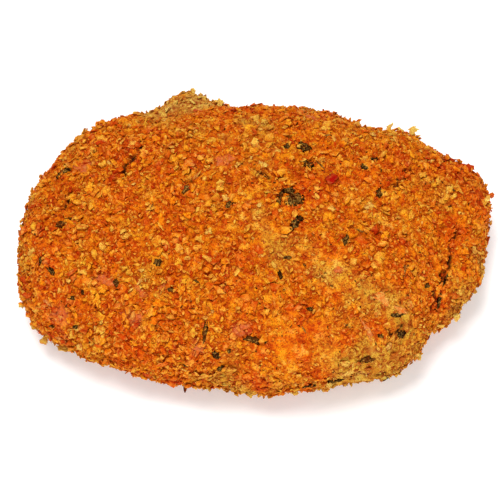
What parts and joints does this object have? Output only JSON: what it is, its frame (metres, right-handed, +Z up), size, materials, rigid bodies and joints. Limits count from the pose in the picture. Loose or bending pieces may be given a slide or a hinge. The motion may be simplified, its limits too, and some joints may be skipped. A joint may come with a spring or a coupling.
{
  "type": "stuffed chicken breast",
  "caption": "Whole baked stuffed chicken breast in a coarse golden herb crumb, with a flat underside that it rests on.",
  "frame": {"origin": "under the middle of the part, on the surface that it rests on", "axes": "+X along the length towards the thin tail end, +Y towards the back where the tenderloin flap lifts, +Z up"},
  "size_m": [0.143, 0.095, 0.036],
  "materials": {
    "crumb_coat": "rough baked breadcrumb crust, golden orange, dark in the cracks",
    "pale_crumb": "dry crumb that has browned little, straw yellow",
    "browned_crumb": "toasted crumb edge, red brown",
    "herb": "dried herb leaf, dark olive green, baked",
    "chilli": "dried chilli skin, dark red, slightly shiny",
    "meat": "moist cooked meat showing through the crumb, pinkish"
  },
  "bodies": {
    "root": {"crumbed_breast": "crumb_coat"}
  },
  "joints": []
}
